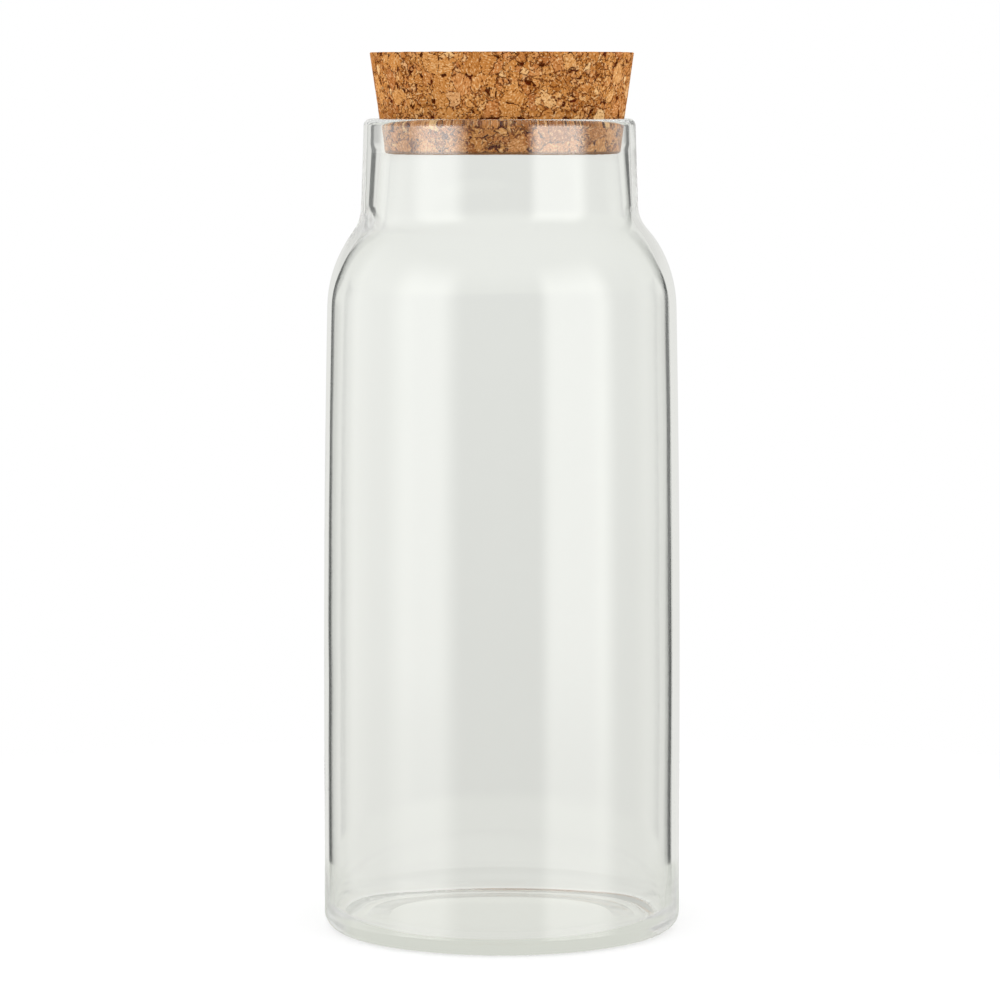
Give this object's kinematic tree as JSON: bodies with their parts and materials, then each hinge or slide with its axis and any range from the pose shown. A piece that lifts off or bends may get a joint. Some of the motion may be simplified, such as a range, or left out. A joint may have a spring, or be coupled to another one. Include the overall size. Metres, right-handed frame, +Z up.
{
  "type": "storage jar with stopper",
  "caption": "Straight-sided clear glass storage jar with a round shoulder and short neck, closed by a tapered cork stopper that lifts out.",
  "frame": {"origin": "centre of the ring on which the jar stands, on the table", "axes": "+Z up along the jar's axis, towards the cork; the jar is turned about Z, so X and Y are free"},
  "size_m": [0.095, 0.095, 0.2331],
  "materials": {
    "clear_glass": "clear, fire-polished",
    "cork": "sanded agglomerated cork"
  },
  "bodies": {
    "jar": {"glass_jar": "clear_glass"},
    "stopper": {"cork_stopper": "cork"}
  },
  "joints": [
    {"name": "stopper_lift", "type": "slide", "parent": "jar", "child": "stopper", "axis": [0, 0, 1], "range_m": [0, 0.1]}
  ]
}
